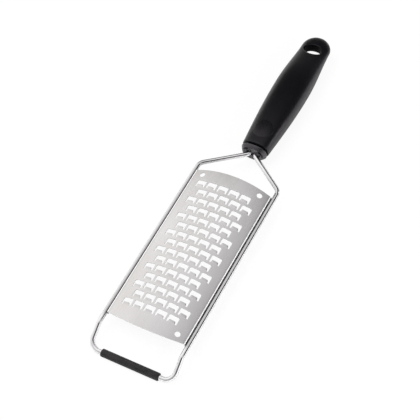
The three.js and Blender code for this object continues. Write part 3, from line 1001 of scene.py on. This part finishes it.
def hang_hole_painted_shade(material, gloss):
    """Wall of the hanging hole without gloss, as painted shade in the hole."""
    tree = material.node_tree
    place = tree.nodes.new("ShaderNodeTexCoord")
    oval = tree.nodes.new("ShaderNodeMapping")
    across = HANG_HOLE_ACROSS / 2
    along = HANG_HOLE_ALONG / 2
    oval.inputs["Scale"].default_value = (1 / (across * MM), 1 / (along * MM), 0)
    oval.inputs["Location"].default_value = (0, -(home.y + hang_hole_y) / along, 0)
    reach = tree.nodes.new("ShaderNodeVectorMath")
    reach.operation = "LENGTH"
    tree.links.new(place.outputs["Object"], oval.inputs["Vector"])
    tree.links.new(oval.outputs["Vector"], reach.inputs[0])
    rim = fade(tree, reach.outputs["Value"], 1.0, 1.15, HANG_HOLE_GLOSS, gloss)
    tree.links.new(rim, tree.nodes["Principled BSDF"].inputs["Specular IOR Level"])


def sleeve_rubber():
    """Matte rubber with lengthwise mottling."""
    material, shader = new_material("sleeve_rubber", (0.024, 0.024, 0.025), 0.0, 0.62)
    link = material.node_tree.links.new
    mottle = noise_field(material, 420, (0.3, 1, 1), detail=4, roughness=0.7)
    shades = [(0.36, (0.002, 0.0017, 0.0018)), (0.64, (0.021, 0.0187, 0.0191))]
    link(ramp(material, mottle, shades), shader.inputs["Base Color"])
    link(spread(material, mottle, 0.55, 0.72), shader.inputs["Roughness"])
    bump(material, shader, mottle, 0.06)
    return material


# Studio

def floor_material():
    """White floor that shows as white, and keeps a part of the object's shadow."""
    material = bpy.data.materials.new("studio_floor")
    material.use_nodes = True
    tree = material.node_tree
    tree.nodes.clear()
    rays = tree.nodes.new("ShaderNodeLightPath")
    share = tree.nodes.new("ShaderNodeMath")
    share.operation = "MAXIMUM"
    cloth = tree.nodes.new("ShaderNodeBsdfDiffuse")
    cloth.inputs["Color"].default_value = (0.9, 0.9, 0.9, 1)
    glow = tree.nodes.new("ShaderNodeEmission")
    glow.inputs["Strength"].default_value = 1.0
    mix = tree.nodes.new("ShaderNodeMixShader")
    output = tree.nodes.new("ShaderNodeOutputMaterial")
    link = tree.links.new
    parts = (("Is Camera Ray", SEEN_GLOW), ("Is Glossy Ray", MIRRORED_GLOW))
    for k, (kind, part) in enumerate(parts):
        part_of = tree.nodes.new("ShaderNodeMath")
        part_of.operation = "MULTIPLY"
        part_of.inputs[1].default_value = part
        link(rays.outputs[kind], part_of.inputs[0])
        link(part_of.outputs[0], share.inputs[k])
    link(share.outputs[0], mix.inputs["Fac"])
    link(cloth.outputs[0], mix.inputs[1])
    link(glow.outputs[0], mix.inputs[2])
    link(mix.outputs[0], output.inputs["Surface"])
    return material


def make_floor():
    """Plain floor under the object."""
    half = 3.0
    mesh = bpy.data.meshes.new("floor")
    corners = [(-half, -half, 0), (half, -half, 0), (half, half, 0), (-half, half, 0)]
    mesh.from_pydata(corners, [], [(0, 1, 2, 3)])
    mesh.materials.append(floor_material())
    floor = bpy.data.objects.new("floor", mesh)
    bpy.context.scene.collection.objects.link(floor)


def sky_patch(tree, direction, centre, inner, outer, within, outside, kind="SMOOTHSTEP"):
    """Factor that goes from outside to within, between two angles from a direction of the tent."""
    facing = tree.nodes.new("ShaderNodeVectorMath")
    facing.operation = "DOT_PRODUCT"
    facing.inputs[1].default_value = Vector(centre).normalized()
    tree.links.new(direction, facing.inputs[0])
    start = math.cos(math.radians(outer))
    end = math.cos(math.radians(inner))
    return fade(tree, facing.outputs["Value"], start, end, outside, within, kind)


def make_world():
    """Light tent: brightest to the left, with its panels, and plain white where the camera sees it."""
    world = bpy.data.worlds.new("light_tent")
    bpy.context.scene.world = world
    world.use_nodes = True
    tree = world.node_tree
    tree.nodes.clear()
    link = tree.links.new
    direction = tree.nodes.new("ShaderNodeTexCoord").outputs["Generated"]
    strength = sky_patch(tree, direction, BRIGHT_SIDE, *TENT_ANGLES, BRIGHT_LEVEL, DIM_LEVEL, "LINEAR")
    for centre, inner, outer, level in PANELS:
        strength = product(tree, strength, sky_patch(tree, direction, centre, inner, outer, level, 1.0))
    tint = tree.nodes.new("ShaderNodeMixRGB")
    tint.inputs["Color1"].default_value = (*RIGHT_TINT, 1)
    tint.inputs["Color2"].default_value = (*LEFT_TINT, 1)
    link(sky_patch(tree, direction, BRIGHT_SIDE, *TENT_ANGLES, 1.0, 0.0, "LINEAR"), tint.inputs["Fac"])
    tent = tree.nodes.new("ShaderNodeBackground")
    link(tint.outputs["Color"], tent.inputs["Color"])
    link(strength, tent.inputs["Strength"])
    white = tree.nodes.new("ShaderNodeBackground")
    white.inputs["Color"].default_value = (1, 1, 1, 1)
    rays = tree.nodes.new("ShaderNodeLightPath")
    mix = tree.nodes.new("ShaderNodeMixShader")
    output = tree.nodes.new("ShaderNodeOutputWorld")
    link(rays.outputs["Is Camera Ray"], mix.inputs["Fac"])
    link(tent.outputs[0], mix.inputs[1])
    link(white.outputs[0], mix.inputs[2])
    link(mix.outputs[0], output.inputs["Surface"])


def make_lamp(name, size, watts, place):
    """Round lamp that lights the floor and the matt surfaces, and does not show in the glossy ones."""
    light = bpy.data.lights.new(name, "AREA")
    light.shape = "DISK"
    light.size = size
    light.energy = watts
    lamp = bpy.data.objects.new(name, light)
    lamp.location = place
    lamp.rotation_euler = (-Vector(place)).to_track_quat("-Z", "Y").to_euler()
    lamp.visible_glossy = False
    bpy.context.scene.collection.objects.link(lamp)


def make_card(name, level, corners):
    """Card beside the object, which only shows in what is glossy."""
    mesh = bpy.data.meshes.new(name)
    mesh.from_pydata(corners, [], [tuple(range(len(corners)))])
    material = bpy.data.materials.new(name)
    material.use_nodes = True
    tree = material.node_tree
    tree.nodes.clear()
    glow = tree.nodes.new("ShaderNodeEmission")
    glow.inputs["Strength"].default_value = level
    output = tree.nodes.new("ShaderNodeOutputMaterial")
    tree.links.new(glow.outputs[0], output.inputs["Surface"])
    mesh.materials.append(material)
    card = bpy.data.objects.new(name, mesh)
    card.visible_camera = False
    card.visible_diffuse = False
    card.visible_shadow = False
    bpy.context.scene.collection.objects.link(card)


def make_camera():
    """Camera at the photograph's viewing angle."""
    lens = bpy.data.cameras.new("photo_camera")
    lens.lens = CAMERA_LENS
    lens.sensor_width = 36
    lens.clip_start = 0.01
    lens.clip_end = 20
    camera = bpy.data.objects.new("photo_camera", lens)
    camera.location = Vector(CAMERA_PLACE_MM) * MM
    camera.rotation_euler = Euler([math.radians(a) for a in CAMERA_TURN_DEGREES])
    bpy.context.scene.collection.objects.link(camera)
    bpy.context.scene.camera = camera


make_camera()
make_world()
make_floor()
for card in CARDS:
    make_card(*card)
for lamp in LAMPS:
    make_lamp(*lamp)
bpy.context.scene.view_settings.view_transform = "Standard"

dress(wire_frame(), polished_wire(), "wire_frame")
dress(grater_blade(), blade_steel(), "grater_blade")
dress(foot_sleeve(), sleeve_rubber(), "foot_sleeve")
grip_black = moulded_black("grip_black", *GRIP_FINISH)
# Painted shade in the hanging hole: its wall loses its gloss
hang_hole_painted_shade(grip_black, GRIP_FINISH[-1])
plug_black = moulded_black("plug_black", *PLUG_FINISH)
pad_black = moulded_black("pad_black", *PAD_FINISH)
dress(handle_grip(), grip_black, "handle_grip")
dress(handle_plug(), plug_black, "handle_plug")
dress(grip_pad(), pad_black, "grip_pad")
